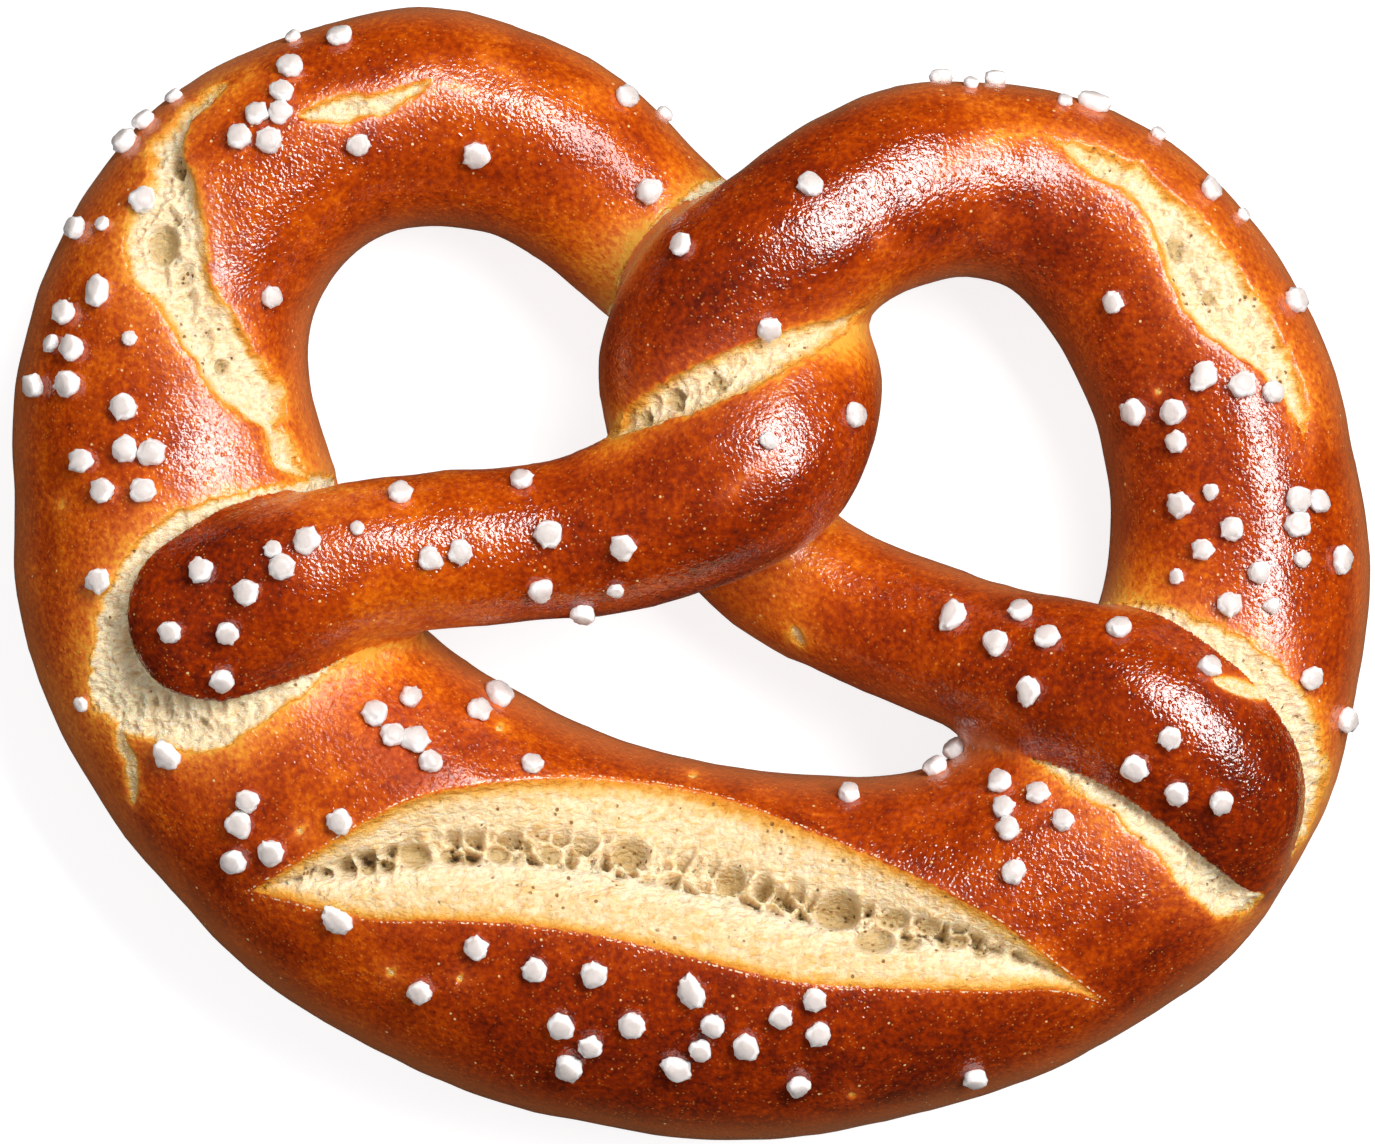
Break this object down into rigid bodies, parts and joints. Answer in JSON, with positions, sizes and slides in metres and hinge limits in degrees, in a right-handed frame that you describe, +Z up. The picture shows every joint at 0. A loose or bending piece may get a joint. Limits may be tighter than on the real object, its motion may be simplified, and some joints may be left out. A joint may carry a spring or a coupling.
{
  "type": "soft pretzel",
  "caption": "Large baked soft pretzel: a looped, twisted rope of dough with a fat slashed belly, ripped shoulders and its two ends laid on the belly. Lies flat.",
  "frame": {"origin": "on the plane that the pretzel lies on, under the middle of its footprint", "axes": "+Z up through the shown side, -Y towards the fat belly, +Y towards the two loops, +X towards the loop whose rope crosses on top first"},
  "size_m": [0.1602, 0.1332, 0.0362],
  "materials": {
    "crust": "satin",
    "salt": "matte"
  },
  "bodies": {
    "root": {"pretzel": "crust"}
  },
  "joints": []
}
